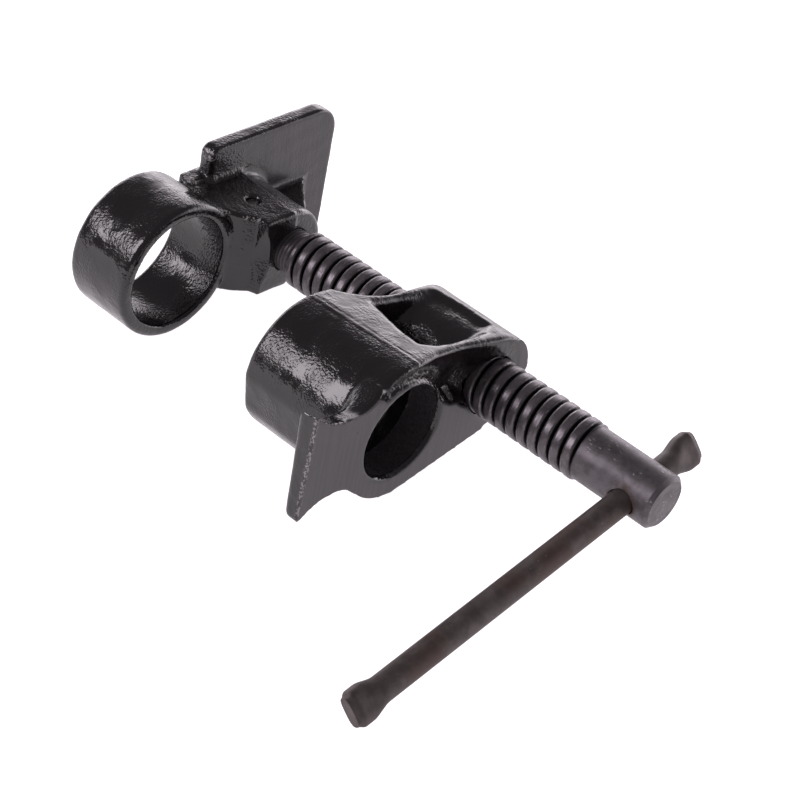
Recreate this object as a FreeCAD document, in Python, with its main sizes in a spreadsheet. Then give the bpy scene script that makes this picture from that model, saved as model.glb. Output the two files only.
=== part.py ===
import FreeCAD, Part
import math
import os
import Sketcher
from FreeCAD import Placement, Rotation, Vector

# Screw end of a woodworking pipe clamp, in millimetres.
# Origin: middle of the pipe boss, on the pipe's axis.
# +X runs along the pipe towards the handle, +Y from the pipe to the screw, +Z up
# as the clamp lies on its side.

SIZES = [
    ("pipe_thread_radius", 12.06, "minor radius of a 3/4 in pipe thread"),
    ("pipe_lip_radius", 11.5, "plain hole ahead of the pipe thread"),
    ("pipe_lip_length", 9.0, "front face to the pipe thread"),
    ("pipe_slide_radius", 14.1, "bore of the jaw's ring, loose on a 26.7 mm pipe"),
    ("axis_spacing", 29.2, "pipe axis to screw axis"),
    ("thread_radius", 7.15, "crests of the 9/16 in screw's thread"),
    ("running_gap", 0.06, "radial gap of what turns or slides"),
    ("cut_over", 2.0, "how far a cut runs past the face it opens"),
    ("find_slack", 0.02, "how near an edge lies to the place it is looked for"),
    ("boss_radius", 16.7, "outside of the head's pipe boss"),
    ("boss_length", 33.0, "pipe boss, front to back"),
    ("boss_edge", 1.6, "round of the boss's back edge"),
    ("mouth_chamfer", 0.7, "chamfer at both mouths of the pipe hole"),
    ("screw_boss_radius", 12.2, "outside of the head's screw boss"),
    ("web_length", 25.4, "screw boss and web, front to back"),
    ("web_half", 2.6, "half the web's thickness between the recesses"),
    ("barrel_radius", 11.0, "screw barrel inside the recesses"),
    ("recess_wall", 4.2, "front wall ahead of the recess"),
    ("recess_length", 19.2, "recess along the screw"),
    ("recess_near", 10.2, "recess edge on the pipe's side"),
    ("recess_far", 30.2, "recess edge on the screw's side"),
    ("recess_corner", 4.0, "corner radius of the recess"),
    ("foot_reach", 30.0, "pipe axis to the foot's end face"),
    ("foot_above", 16.8, "foot's end corner above the pipe axis"),
    ("foot_below", 10.4, "foot's end corner below it"),
    ("foot_thick", 4.6, "foot plate along the pipe"),
    ("foot_root", 9.0, "where the foot's upper side runs into the boss"),
    ("foot_root_above", 13.6, "height of that corner"),
    ("foot_hollow", 17.0, "radius of the hollow in the upper side"),
    ("foot_under", 12.2, "where the foot's lower side runs into the boss"),
    ("foot_under_below", 10.9, "depth of that corner"),
    ("foot_hollow_below", 13.2, "radius of the hollow in the lower side"),
    ("foot_edge", 0.9, "round of the foot's rear edges"),
    ("flat_depth", 0.5, "flat on the boss's outer side, below its outline"),
    ("scoop_depth", 4.6, "depth of the front scoop over the pipe"),
    ("scoop_tilt", 6.4, "slope of the scoop's floor, degrees"),
    ("scoop_band", 13.7, "ground band left round the pipe hole"),
    ("scoop_first", 84.0, "where the scoop leaves that band, degrees from +Y"),
    ("scoop_last", 132.0, "where the scoop meets that band, degrees from +Y"),
    ("jaw_offset", 54.8, "pipe thread's middle to the ring's front face"),
    ("ring_wall", 3.1, "wall of the jaw's ring"),
    ("ring_length", 18.4, "ring along the pipe"),
    ("ring_edge", 1.2, "bevel on the ring's edges"),
    ("ring_chamfer", 0.7, "chamfer at the rear mouth of the ring"),
    ("plate_back", 12.2, "ring's front face to the plate's near face"),
    ("plate_thick", 4.4, "pressing plate"),
    ("plate_near", 18.6, "plate edge on the pipe's side"),
    ("plate_far", 61.4, "plate edge away from the pipe"),
    ("plate_half", 20.2, "half the plate's width"),
    ("plate_corner", 6.5, "outer corner radius of the plate"),
    ("plate_crop", 2.5, "inner corner radius of the plate"),
    ("plate_edge", 0.8, "round of the plate's edges"),
    ("block_half", 11.6, "half the height of the jaw's neck block"),
    ("block_front", 1.4, "neck block ahead of the ring's front face"),
    ("ledge_half", 12.7, "half the height of the ledge between ring and plate"),
    ("ledge_near", 14.6, "ledge from the pipe axis"),
    ("ledge_far", 22.0, "ledge's end from the pipe axis"),
    ("ledge_back", 0.6, "ledge ahead of the ring's rear face"),
    ("socket_front", 7.0, "socket ahead of the ring's front face"),
    ("socket_radius", 9.9, "outside of the socket"),
    ("socket_side", 7.9, "flat side of the socket from the screw axis"),
    ("socket_depth", 9.0, "socket floor behind the ring's front face"),
    ("rib_half", 2.3, "half the rib's thickness"),
    ("rib_reach", 52.0, "rib's foot on the plate, from the pipe axis"),
    ("rib_front", 3.5, "rib's end ahead of the ring's front face"),
    ("rib_top", 8.9, "rib's end above the screw axis"),
    ("neck_radius", 5.45, "turned neck of the screw"),
    ("groove_radius", 4.2, "bottom of the neck's pin groove"),
    ("pin_radius", 1.5, "jaw pin"),
    ("pin_behind", 1.9, "pin axis behind the ring's front face"),
    ("pin_sunk", 1.2, "pin end below the jaw's surface"),
    ("thread_start", 42.6, "pipe thread's middle to the first full thread"),
    ("neck_taper", 1.7, "run-out between neck and thread"),
    ("shank_start", 28.4, "thread's end ahead of the head's front face"),
    ("shank_radius", 6.6, "plain shank"),
    ("shank_end", 49.6, "shank end ahead of the head's front face"),
    ("shank_chamfer", 1.0, "chamfer of the shank's end"),
    ("thread_runout", 0.5, "run-out between thread and shank"),
    ("bar_ahead", 42.7, "cross hole ahead of the head's front face"),
    ("bar_radius", 3.0, "cross bar"),
    ("bar_angle", 9.6, "droop of the bar's long end, degrees"),
    ("bar_long", 88.0, "screw axis to the bar's long end"),
    ("bar_short", 18.6, "screw axis to the bar's short end"),
    ("swage_length", 7.6, "swaged end, with its taper"),
    ("swage_taper", 3.0, "taper from the round bar to the swaged flats"),
    ("swage_half", 4.1, "half width of the swaged end"),
    ("swage_thin", 2.15, "half thickness of the swaged end"),
    ("swage_corner", 1.8, "corner radius of the swaged end"),
    ("swage_turn", 38.0, "turn of the swaged flats about the bar, degrees"),
]

doc = FreeCAD.newDocument("PipeClamp")
sheet = doc.addObject("Spreadsheet::Sheet", "Sizes")
for row, (alias, number, note) in enumerate(SIZES, start=1):
    sheet.set("A%d" % row, note)
    sheet.set("B%d" % row, str(number))
    sheet.setAlias("B%d" % row, alias)
doc.recompute()


class Size:
    """A number from the sheet, kept together with the expression that gives it."""

    def __init__(self, value, text):
        self.value = value
        self.text = text

    def joined(self, other, sign, value):
        text = other.text if isinstance(other, Size) else repr(other)
        return Size(value, "(%s %s %s)" % (self.text, sign, text))

    def __add__(self, other):
        return self.joined(other, "+", self.value + number_of(other))

    def __sub__(self, other):
        return self.joined(other, "-", self.value - number_of(other))

    def __mul__(self, other):
        return self.joined(other, "*", self.value * number_of(other))

    def __truediv__(self, other):
        return self.joined(other, "/", self.value / number_of(other))

    def __neg__(self):
        return Size(-self.value, "(-%s)" % self.text)


def number_of(size):
    return size.value if isinstance(size, Size) else size


def cell(alias):
    return Size(float(sheet.get(alias)), "Sizes.%s" % alias)


def cosine(angle):
    return Size(math.cos(math.radians(angle.value)), "cos(%s)" % angle.text)


ZERO = Size(0.0, "0")
FRONT = cell("boss_length") / 2
BACK = -FRONT
JAW_FRONT = -cell("jaw_offset")
OVER = cell("cut_over")
SLACK = cell("find_slack").value


def new_body(label):
    body = doc.addObject("PartDesign::Body", label)
    body.Label = label
    return body


def origin_plane(body, role):
    for feature in body.Origin.OriginFeatures:
        if feature.Role == role:
            return feature
    raise ValueError(role)


def new_sketch(body, name, role, offset=None):
    """A sketch on one of the body's own planes, moved along its normal by offset."""
    sketch = body.newObject("Sketcher::SketchObject", name)
    sketch.AttachmentSupport = [(origin_plane(body, role), "")]
    sketch.MapMode = "FlatFace"
    if offset is not None:
        sketch.setExpression("AttachmentOffset.Base.z", offset.text)
    return sketch


def bind(sketch, kind, where, size):
    """Add a dimension and tie it to the sheet."""
    index = sketch.addConstraint(Sketcher.Constraint(kind, *where, number_of(size)))
    sketch.setExpression("Constraints[%d]" % index, size.text)


def hold_point(sketch, shape, end, across, up):
    """Fix one point of a sketch shape at (across, up) from the origin."""
    for kind, size in (("DistanceX", across), ("DistanceY", up)):
        if size.value == 0:
            line = -2 if kind == "DistanceX" else -1
            sketch.addConstraint(Sketcher.Constraint("PointOnObject", shape, end, line))
        elif size.value < 0:
            bind(sketch, kind, (shape, end, -1, 1), -size)
        else:
            bind(sketch, kind, (-1, 1, shape, end), size)


def add_circle(sketch, across, up, radius):
    centre = Vector(across.value, up.value, 0)
    index = sketch.addGeometry(Part.Circle(centre, Vector(0, 0, 1), radius.value))
    hold_point(sketch, index, 3, across, up)
    bind(sketch, "Radius", (index,), radius)
    return index


def add_polygon(sketch, corners):
    """A closed outline of straight sides through corners, each an (across, up) pair."""
    spots = [Vector(across.value, up.value, 0) for across, up in corners]
    sides = []
    for start, end in zip(spots, spots[1:] + spots[:1]):
        sides.append(sketch.addGeometry(Part.LineSegment(start, end)))
    for side, following in zip(sides, sides[1:] + sides[:1]):
        sketch.addConstraint(Sketcher.Constraint("Coincident", side, 2, following, 1))
    for side, (across, up) in zip(sides, corners):
        hold_point(sketch, side, 1, across, up)
    return sides


def add_hull(sketch, near_radius, far_radius, spacing):
    """Outline round two circles and the straight tangents between them."""
    turn = math.acos((near_radius.value - far_radius.value) / spacing.value)
    axis = Vector(0, 0, 1)
    near = Part.Circle(Vector(0, 0, 0), axis, near_radius.value)
    far = Part.Circle(Vector(spacing.value, 0, 0), axis, far_radius.value)
    near_arc = sketch.addGeometry(Part.ArcOfCircle(near, turn, 2 * math.pi - turn))
    far_arc = sketch.addGeometry(Part.ArcOfCircle(far, -turn, turn))

    def rim(centre, radius, angle):
        return Vector(centre + radius * math.cos(angle), radius * math.sin(angle), 0)

    upper = sketch.addGeometry(Part.LineSegment(rim(0, near_radius.value, turn),
                                                rim(spacing.value, far_radius.value, turn)))
    lower = sketch.addGeometry(Part.LineSegment(rim(0, near_radius.value, -turn),
                                                rim(spacing.value, far_radius.value, -turn)))
    hold_point(sketch, near_arc, 3, ZERO, ZERO)
    hold_point(sketch, far_arc, 3, spacing, ZERO)
    bind(sketch, "Radius", (near_arc,), near_radius)
    bind(sketch, "Radius", (far_arc,), far_radius)
    for line, arc, line_end, arc_end in ((upper, near_arc, 1, 1), (upper, far_arc, 2, 2),
                                         (lower, near_arc, 1, 2), (lower, far_arc, 2, 1)):
        sketch.addConstraint(Sketcher.Constraint("Tangent", line, line_end, arc, arc_end))


def add_rounded_box(sketch, low, high, radii):
    """A rectangle from low to high, its corners rounded: radii go anticlockwise from low."""
    (left, down), (right, top) = low, high
    corners = [(left, down), (right, down), (right, top), (left, top)]
    turns = [(1, 1), (-1, 1), (-1, -1), (1, -1)]
    arcs = []
    for (across, up), (side, rise), radius, start in zip(corners, turns, radii, (180, 270, 0, 90)):
        centre = Vector(across.value + side * radius.value, up.value + rise * radius.value, 0)
        circle = Part.Circle(centre, Vector(0, 0, 1), radius.value)
        first = math.radians(start)
        arcs.append(sketch.addGeometry(Part.ArcOfCircle(circle, first, first + math.pi / 2)))
        bind(sketch, "Radius", (arcs[-1],), radius)
        hold_point(sketch, arcs[-1], 3, across + radius * side, up + radius * rise)
    for index, arc in enumerate(arcs):
        following = arcs[(index + 1) % len(arcs)]
        start = sketch.Geometry[arc].EndPoint
        end = sketch.Geometry[following].StartPoint
        line = sketch.addGeometry(Part.LineSegment(start, end))
        sketch.addConstraint(Sketcher.Constraint("Tangent", line, 1, arc, 2))
        sketch.addConstraint(Sketcher.Constraint("Tangent", line, 2, following, 1))


def volume_of(body):
    doc.recompute()
    return body.Shape.Volume


def add_pad(body, sketch, length, backwards=False, both=False):
    """Extrude a sketch into the body and make sure that it adds material."""
    before = volume_of(body) if body.Tip and not body.Shape.isNull() else 0
    pad = body.newObject("PartDesign::Pad", sketch.Name + "_pad")
    pad.Profile = sketch
    pad.setExpression("Length", length.text)
    pad.Reversed = backwards
    pad.Midplane = both
    if volume_of(body) <= before:
        raise ValueError("%s adds nothing" % pad.Name)
    return pad


def add_cut(body, sketch, length=None, backwards=False, both=False):
    """Cut a sketch out of the body and make sure that it removes material."""
    before = volume_of(body)
    cut = body.newObject("PartDesign::Pocket", sketch.Name + "_cut")
    cut.Profile = sketch
    if length is None:
        cut.Type = "ThroughAll"
    else:
        cut.setExpression("Length", length.text)
    cut.Reversed = backwards
    cut.Midplane = both
    if volume_of(body) >= before:
        raise ValueError("%s cuts nothing" % cut.Name)
    return cut


def round_edges(body, name, wanted, radius, kind="Fillet"):
    """Fillet or chamfer every edge of the body's tip that wanted() accepts."""
    doc.recompute()
    tip = body.Tip
    names = ["Edge%d" % (place + 1) for place, edge in enumerate(tip.Shape.Edges) if wanted(edge)]
    if not names:
        raise ValueError("%s finds no edge" % name)
    feature = body.newObject("PartDesign::" + kind, name)
    feature.Base = (tip, names)
    feature.setExpression("Radius" if kind == "Fillet" else "Size", radius.text)
    doc.recompute()
    if "Invalid" in feature.State or not feature.Shape.isValid():
        raise ValueError("%s fails" % name)
    return feature


def edge_at(edge, x=None, radius=None, flat=False):
    """True for an edge that lies in the plane at x, on a circle of that radius."""
    box = edge.BoundBox
    if flat and box.XLength > SLACK:
        return False
    if x is not None and (abs(box.XMin - x) > SLACK or abs(box.XMax - x) > SLACK):
        return False
    if radius is not None:
        curve = edge.Curve
        if not hasattr(curve, "Radius") or abs(curve.Radius - radius) > SLACK:
            return False
    return True


# Head casting

# Lower edge of the front scoop from the pipe hole to the screw boss, then up inside
# the ground crescent: shares of the axis spacing across and of the boss radius up.
SCOOP_EDGE_SHARES = [
    (0.233, 0.575), (0.397, 0.281), (0.616, -0.024), (0.771, -0.234), (0.945, -0.509),
    (1.058, -0.689), (1.150, -0.580), (1.262, -0.300), (1.300, 0.060), (1.250, 0.400),
    (1.130, 0.800), (1.130, 1.300), (-0.460, 1.300),
]


def make_head():
    body = new_body("head")
    spacing = cell("axis_spacing")

    web = new_sketch(body, "head_web", "YZ_Plane", FRONT)
    add_hull(web, cell("boss_radius"), cell("screw_boss_radius"), spacing)
    add_pad(body, web, cell("web_length"), backwards=True)

    recess = new_sketch(body, "head_recess", "XY_Plane", cell("web_half"))
    front = FRONT - cell("recess_wall")
    add_rounded_box(recess, (front - cell("recess_length"), cell("recess_near")),
                    (front, cell("recess_far")), [cell("recess_corner")] * 4)
    upper = add_cut(body, recess, backwards=True)
    lower = body.newObject("PartDesign::Mirrored", "head_recess_below")
    lower.Originals = [upper]
    lower.MirrorPlane = (origin_plane(body, "XY_Plane"), [""])
    body.Tip = lower
    doc.recompute()

    barrel = new_sketch(body, "head_barrel", "YZ_Plane", FRONT)
    add_circle(barrel, spacing, ZERO, cell("barrel_radius"))
    add_pad(body, barrel, cell("web_length"), backwards=True)

    boss = new_sketch(body, "head_boss", "YZ_Plane", FRONT)
    add_circle(boss, ZERO, ZERO, cell("boss_radius"))
    add_pad(body, boss, cell("boss_length"), backwards=True)
    radius = cell("boss_radius").value
    round_edges(body, "boss_back_round", lambda edge: edge_at(edge, BACK.value, radius),
                cell("boss_edge"))

    flat = new_sketch(body, "boss_flat", "XZ_Plane", cell("boss_radius") - cell("flat_depth"))
    half = cell("boss_radius")
    add_polygon(flat, [(BACK, -half), (FRONT, -half), (FRONT, half), (BACK, half)])
    add_cut(body, flat, OVER, backwards=True)

    add_foot(body)
    add_scoop(body)

    bore = new_sketch(body, "pipe_bore", "YZ_Plane", FRONT)
    add_circle(bore, ZERO, ZERO, cell("pipe_lip_radius"))
    add_cut(body, bore)
    tapped = new_sketch(body, "pipe_thread_bore", "YZ_Plane", FRONT - cell("pipe_lip_length"))
    add_circle(tapped, ZERO, ZERO, cell("pipe_thread_radius"))
    add_cut(body, tapped)
    mouth = new_sketch(body, "pipe_bore_mouth", "XY_Plane")
    add_mouths(mouth)
    countersink = body.newObject("PartDesign::Groove", "pipe_bore_mouths")
    countersink.Profile = mouth
    countersink.ReferenceAxis = (mouth, ["H_Axis"])
    countersink.Angle = 360
    doc.recompute()

    nut = new_sketch(body, "screw_bore", "YZ_Plane", FRONT)
    add_circle(nut, spacing, ZERO, cell("thread_radius") + cell("running_gap"))
    add_cut(body, nut)
    return body


def add_mouths(sketch):
    """Two triangles that turn into the chamfers of the pipe hole's mouths."""
    lip, thread, size = cell("pipe_lip_radius"), cell("pipe_thread_radius"), cell("mouth_chamfer")
    add_polygon(sketch, [(FRONT - size, lip), (FRONT, lip), (FRONT, lip + size)])
    add_polygon(sketch, [(BACK, thread), (BACK + size, thread), (BACK, thread + size)])


def add_foot(body):
    """The flat plate on the pipe boss that the clamp stands on, hollowed at both sides."""
    foot = new_sketch(body, "head_foot", "YZ_Plane", FRONT)
    reach = -cell("foot_reach")
    ends = [(reach, cell("foot_above")), (reach, -cell("foot_below")),
            (-cell("foot_under"), -cell("foot_under_below")),
            (-cell("foot_root"), cell("foot_root_above"))]
    spots = [Vector(across.value, up.value, 0) for across, up in ends]
    outer = foot.addGeometry(Part.LineSegment(spots[0], spots[1]))
    inner = foot.addGeometry(Part.LineSegment(spots[2], spots[3]))
    hollows = [cell("foot_hollow_below"), cell("foot_hollow")]
    arcs = []
    for start, end, hollow in ((spots[1], spots[2], hollows[0]), (spots[3], spots[0], hollows[1])):
        chord = end - start
        drop = hollow.value - math.sqrt(hollow.value ** 2 - (chord.Length / 2) ** 2)
        inward = Vector(-chord.y, chord.x, 0).normalize()
        arcs.append(foot.addGeometry(Part.Arc(start, (start + end) * 0.5 + inward * drop, end)))
    for shape, end, arc in ((outer, 2, arcs[0]), (inner, 1, arcs[0]),
                            (inner, 2, arcs[1]), (outer, 1, arcs[1])):
        spot = foot.getPoint(shape, end)
        near = foot.getPoint(arc, 1).distanceToPoint(spot) < foot.getPoint(arc, 2).distanceToPoint(spot)
        foot.addConstraint(Sketcher.Constraint("Coincident", shape, end, arc, 1 if near else 2))
    hold_point(foot, outer, 1, *ends[0])
    hold_point(foot, outer, 2, *ends[1])
    hold_point(foot, inner, 1, *ends[2])
    hold_point(foot, inner, 2, *ends[3])
    for arc, hollow in zip(arcs, hollows):
        bind(foot, "Radius", (arc,), hollow)
    add_pad(body, foot, cell("foot_thick"), backwards=True)
    rear = (FRONT - cell("foot_thick")).value

    def rear_rim(edge):
        return edge_at(edge, rear) and abs(edge.BoundBox.YMin - reach.value) < SLACK

    round_edges(body, "foot_rear_round", rear_rim, cell("foot_edge"))


def add_scoop(body):
    """The rough hollow on the upper half of the front face, open at the top."""
    scoop = new_sketch(body, "head_scoop", "YZ_Plane")
    depth, tilt = (FRONT - cell("scoop_depth")), cell("scoop_tilt")
    scoop.AttachmentOffset = Placement(Vector(0, 0, depth.value), Rotation(Vector(0, 1, 0), -tilt.value))
    scoop.setExpression("AttachmentOffset.Base.z", depth.text)
    scoop.setExpression("AttachmentOffset.Rotation.Angle", tilt.text)
    band, spacing, boss = cell("scoop_band"), cell("axis_spacing"), cell("boss_radius")
    first, last = cell("scoop_first"), cell("scoop_last")
    circle = Part.Circle(Vector(0, 0, 0), Vector(0, 0, 1), band.value)
    arc = scoop.addGeometry(Part.ArcOfCircle(circle, math.radians(first.value),
                                             math.radians(last.value)))
    hold_point(scoop, arc, 3, ZERO, ZERO)
    bind(scoop, "Radius", (arc,), band)
    corners = [(spacing * across, boss * up) for across, up in SCOOP_EDGE_SHARES]
    spots = [scoop.getPoint(arc, 1)]
    spots += [Vector(across.value, up.value, 0) for across, up in corners]
    spots.append(scoop.getPoint(arc, 2))
    sides = [scoop.addGeometry(Part.LineSegment(a, b)) for a, b in zip(spots, spots[1:])]
    scoop.addConstraint(Sketcher.Constraint("Coincident", sides[0], 1, arc, 1))
    scoop.addConstraint(Sketcher.Constraint("Coincident", sides[-1], 2, arc, 2))
    for side, following in zip(sides, sides[1:]):
        scoop.addConstraint(Sketcher.Constraint("Coincident", side, 2, following, 1))
    for side, (across, up) in zip(sides, corners):
        hold_point(scoop, side, 2, across, up)
    bind(scoop, "DistanceX", (-1, 1, arc, 1), band * cosine(first))
    bind(scoop, "DistanceX", (arc, 2, -1, 1), -(band * cosine(last)))
    add_cut(body, scoop, cell("scoop_depth") * 2 + OVER, backwards=True)


# Front jaw casting

PIN_ACROSS = cell("axis_spacing") - cell("groove_radius") - cell("pin_radius") - cell("running_gap")
PIN_ALONG = JAW_FRONT - cell("pin_behind")


def make_jaw():
    body = new_body("front_jaw")
    spacing = cell("axis_spacing")

    ring = new_sketch(body, "jaw_ring", "YZ_Plane", JAW_FRONT)
    add_circle(ring, ZERO, ZERO, cell("pipe_slide_radius") + cell("ring_wall"))
    add_pad(body, ring, cell("ring_length"), backwards=True)
    outside = (cell("pipe_slide_radius") + cell("ring_wall")).value
    round_edges(body, "ring_bevels", lambda edge: edge_at(edge, radius=outside, flat=True),
                cell("ring_edge"), "Chamfer")

    plate = new_sketch(body, "jaw_plate", "YZ_Plane", JAW_FRONT - cell("plate_back"))
    inner, outer = cell("plate_crop"), cell("plate_corner")
    half = cell("plate_half")
    add_rounded_box(plate, (cell("plate_near"), -half), (cell("plate_far"), half),
                    [inner, outer, outer, inner])
    add_pad(body, plate, cell("plate_thick"), backwards=True)
    near_face = (JAW_FRONT - cell("plate_back")).value
    far_face = near_face - cell("plate_thick").value
    ring_top = outside + cell("ring_edge").value / 2

    def plate_rim(edge):
        on_face = edge_at(edge, near_face) or edge_at(edge, far_face)
        return on_face and edge.BoundBox.YMax > ring_top

    round_edges(body, "plate_rounds", plate_rim, cell("plate_edge"))

    block = new_sketch(body, "jaw_block", "YZ_Plane", JAW_FRONT + cell("block_front"))
    height = cell("block_half")
    start = cell("pipe_slide_radius")
    add_polygon(block, [(start, -height), (spacing, -height), (spacing, height), (start, height)])
    add_pad(body, block, cell("plate_back") + cell("block_front"), backwards=True)

    ledge = new_sketch(body, "jaw_ledge", "YZ_Plane", JAW_FRONT - cell("plate_back"))
    near, far, tall = cell("ledge_near"), cell("ledge_far"), cell("ledge_half")
    add_polygon(ledge, [(near, -tall), (far, -tall), (far, tall), (near, tall)])
    add_pad(body, ledge, cell("ring_length") - cell("plate_back") - cell("ledge_back"), backwards=True)

    socket = new_sketch(body, "jaw_socket", "YZ_Plane", JAW_FRONT + cell("socket_front"))
    add_socket_outline(socket)
    add_pad(body, socket, cell("plate_back") + cell("socket_front"), backwards=True)

    rib = new_sketch(body, "jaw_rib", "XY_Plane")
    foot, end = JAW_FRONT - cell("plate_back"), JAW_FRONT + cell("rib_front")
    add_polygon(rib, [(foot, spacing), (end, spacing), (end, spacing + cell("rib_top")),
                      (foot, cell("rib_reach"))])
    add_pad(body, rib, cell("rib_half") * 2, both=True)

    bore = new_sketch(body, "jaw_bore", "YZ_Plane", JAW_FRONT + cell("socket_front"))
    add_circle(bore, ZERO, ZERO, cell("pipe_slide_radius"))
    add_cut(body, bore)
    rear = (JAW_FRONT - cell("ring_length")).value
    slide = cell("pipe_slide_radius").value
    round_edges(body, "jaw_bore_mouth", lambda edge: edge_at(edge, rear, slide),
                cell("ring_chamfer"), "Chamfer")

    neck = new_sketch(body, "jaw_neck_bore", "YZ_Plane", JAW_FRONT + cell("socket_front"))
    add_circle(neck, spacing, ZERO, cell("neck_radius") + cell("running_gap"))
    add_cut(body, neck, cell("socket_front") + cell("socket_depth"))

    hole = new_sketch(body, "jaw_pin_hole", "XY_Plane")
    add_circle(hole, PIN_ALONG, PIN_ACROSS, cell("pin_radius"))
    add_cut(body, hole, (cell("block_half") + OVER) * 2, both=True)
    return body


def add_socket_outline(sketch):
    """Flat towards the pipe and round on the far side."""
    spacing, radius = cell("axis_spacing"), cell("socket_radius")
    left = spacing - cell("socket_side")
    circle = Part.Circle(Vector(spacing.value, 0, 0), Vector(0, 0, 1), radius.value)
    arc = sketch.addGeometry(Part.ArcOfCircle(circle, -math.pi / 2, math.pi / 2))
    hold_point(sketch, arc, 3, spacing, ZERO)
    bind(sketch, "Radius", (arc,), radius)
    spots = [sketch.getPoint(arc, 2), Vector(left.value, radius.value, 0),
             Vector(left.value, -radius.value, 0), sketch.getPoint(arc, 1)]
    sides = [sketch.addGeometry(Part.LineSegment(a, b)) for a, b in zip(spots, spots[1:])]
    sketch.addConstraint(Sketcher.Constraint("Tangent", sides[0], 1, arc, 2))
    sketch.addConstraint(Sketcher.Constraint("Tangent", sides[2], 2, arc, 1))
    sketch.addConstraint(Sketcher.Constraint("Horizontal", sides[0]))
    sketch.addConstraint(Sketcher.Constraint("Horizontal", sides[2]))
    sketch.addConstraint(Sketcher.Constraint("Coincident", sides[0], 2, sides[1], 1))
    sketch.addConstraint(Sketcher.Constraint("Coincident", sides[1], 2, sides[2], 1))
    sketch.addConstraint(Sketcher.Constraint("Vertical", sides[1]))
    bind(sketch, "DistanceX", (-1, 1, sides[1], 1), left)


# Screw

BAR_ALONG = FRONT + cell("bar_ahead")


def make_screw():
    """Turned in one piece: pinned neck, thread at its crests, and shank with a cross hole."""
    body = new_body("clamp_screw")
    spacing = cell("axis_spacing")
    groove_half = cell("pin_radius") + cell("running_gap")
    end = JAW_FRONT - cell("socket_depth") + cell("running_gap")
    shank = FRONT + cell("shank_start")
    tip = FRONT + cell("shank_end")
    chamfer = cell("shank_chamfer")
    start = -cell("thread_start")
    profile = [
        (end, ZERO),
        (end, cell("neck_radius")),
        (PIN_ALONG - groove_half, cell("neck_radius")),
        (PIN_ALONG - groove_half, cell("groove_radius")),
        (PIN_ALONG + groove_half, cell("groove_radius")),
        (PIN_ALONG + groove_half, cell("neck_radius")),
        (start - cell("neck_taper"), cell("neck_radius")),
        (start, cell("thread_radius")),
        (shank, cell("thread_radius")),
        (shank + cell("thread_runout"), cell("shank_radius")),
        (tip - chamfer, cell("shank_radius")),
        (tip, cell("shank_radius") - chamfer),
        (tip, ZERO),
    ]
    outline = new_sketch(body, "screw_profile", "XY_Plane")
    sides = add_polygon(outline, [(along, spacing + out) for along, out in profile])
    turned = body.newObject("PartDesign::Revolution", "screw_turned")
    turned.Profile = outline
    turned.ReferenceAxis = (outline, ["Edge%d" % len(sides)])
    turned.Angle = 360
    doc.recompute()

    hole = bar_sketch(body, "screw_cross_hole", ZERO)
    add_circle(hole, BAR_ALONG, ZERO, cell("bar_radius") + cell("running_gap"))
    add_cut(body, hole, (cell("shank_radius") + OVER) * 2, both=True)
    return body


# Cross bar

def bar_sketch(body, name, along):
    """A sketch square to the cross bar, along millimetres down its long end."""
    sketch = new_sketch(body, name, "XZ_Plane")
    tilt = cell("bar_angle")
    sketch.AttachmentOffset = Placement(Vector(), Rotation(Vector(1, 0, 0), tilt.value))
    sketch.setExpression("AttachmentOffset.Rotation.Angle", tilt.text)
    out = -cell("axis_spacing")
    sketch.setExpression("AttachmentOffset.Base.z", "%s + %s * cos(%s)" % (out.text, along.text, tilt.text))
    sketch.setExpression("AttachmentOffset.Base.y", "-(%s) * sin(%s)" % (along.text, tilt.text))
    return sketch


def make_bar():
    """A round bar, swaged flat at both ends."""
    body = new_body("t_bar")
    radius, swage, taper = cell("bar_radius"), cell("swage_length"), cell("swage_taper")
    low, high = -cell("bar_short"), cell("bar_long")
    thin, half = cell("swage_thin"), cell("swage_half")
    middle = bar_sketch(body, "bar_round", low + swage - taper)
    add_circle(middle, BAR_ALONG, ZERO, radius)
    add_pad(body, middle, (high - swage + taper) - (low + swage - taper))

    for name, end, inward in (("short", low, 1), ("long", high, -1)):
        full = end + swage * inward
        thinned = full - taper * inward
        wedge = bar_side_sketch(body, "bar_%s_thinning" % name, False)
        past = end - OVER * inward
        for side in (1, -1):
            add_polygon(wedge, [(full, radius * side), (thinned, thin * side), (past, thin * side),
                                (past, (radius + OVER) * side), (full, (radius + OVER) * side)])
        add_cut(body, wedge, (radius + OVER) * 2, both=True)
        blade = bar_side_sketch(body, "bar_%s_blade" % name, True)
        corner = cell("swage_corner")
        tip = end + corner * inward
        add_polygon(blade, [(thinned + taper * inward / 2, radius), (thinned, half), (tip, half),
                            (end, half - corner), (end, -half + corner), (tip, -half),
                            (thinned, -half), (thinned + taper * inward / 2, -radius)])
        add_pad(body, blade, thin * 2, both=True)
    return body


def bar_side_sketch(body, name, flat):
    """A sketch whose first axis runs down the bar: across its flats, or in them."""
    sketch = new_sketch(body, name, "XY_Plane")
    tilt, turn = cell("bar_angle"), cell("swage_turn")
    down = Rotation(Vector(1, 0, 0), tilt.value) * Rotation(Vector(0, 0, 1), -90)
    facing = Rotation(Vector(1, 0, 0), turn.value + (0 if flat else 90))
    spot = Vector(BAR_ALONG.value, cell("axis_spacing").value, 0)
    sketch.AttachmentOffset = Placement(spot, down * facing)
    sketch.setExpression("AttachmentOffset.Base.x", BAR_ALONG.text)
    sketch.setExpression("AttachmentOffset.Base.y", cell("axis_spacing").text)
    return sketch


# Jaw pin

def make_pin():
    body = new_body("jaw_pin")
    reach = cell("block_half") - cell("pin_sunk")
    sketch = new_sketch(body, "pin_round", "XY_Plane")
    add_circle(sketch, PIN_ALONG, PIN_ACROSS, cell("pin_radius"))
    add_pad(body, sketch, reach * 2, both=True)
    return body


# Check and save

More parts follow.
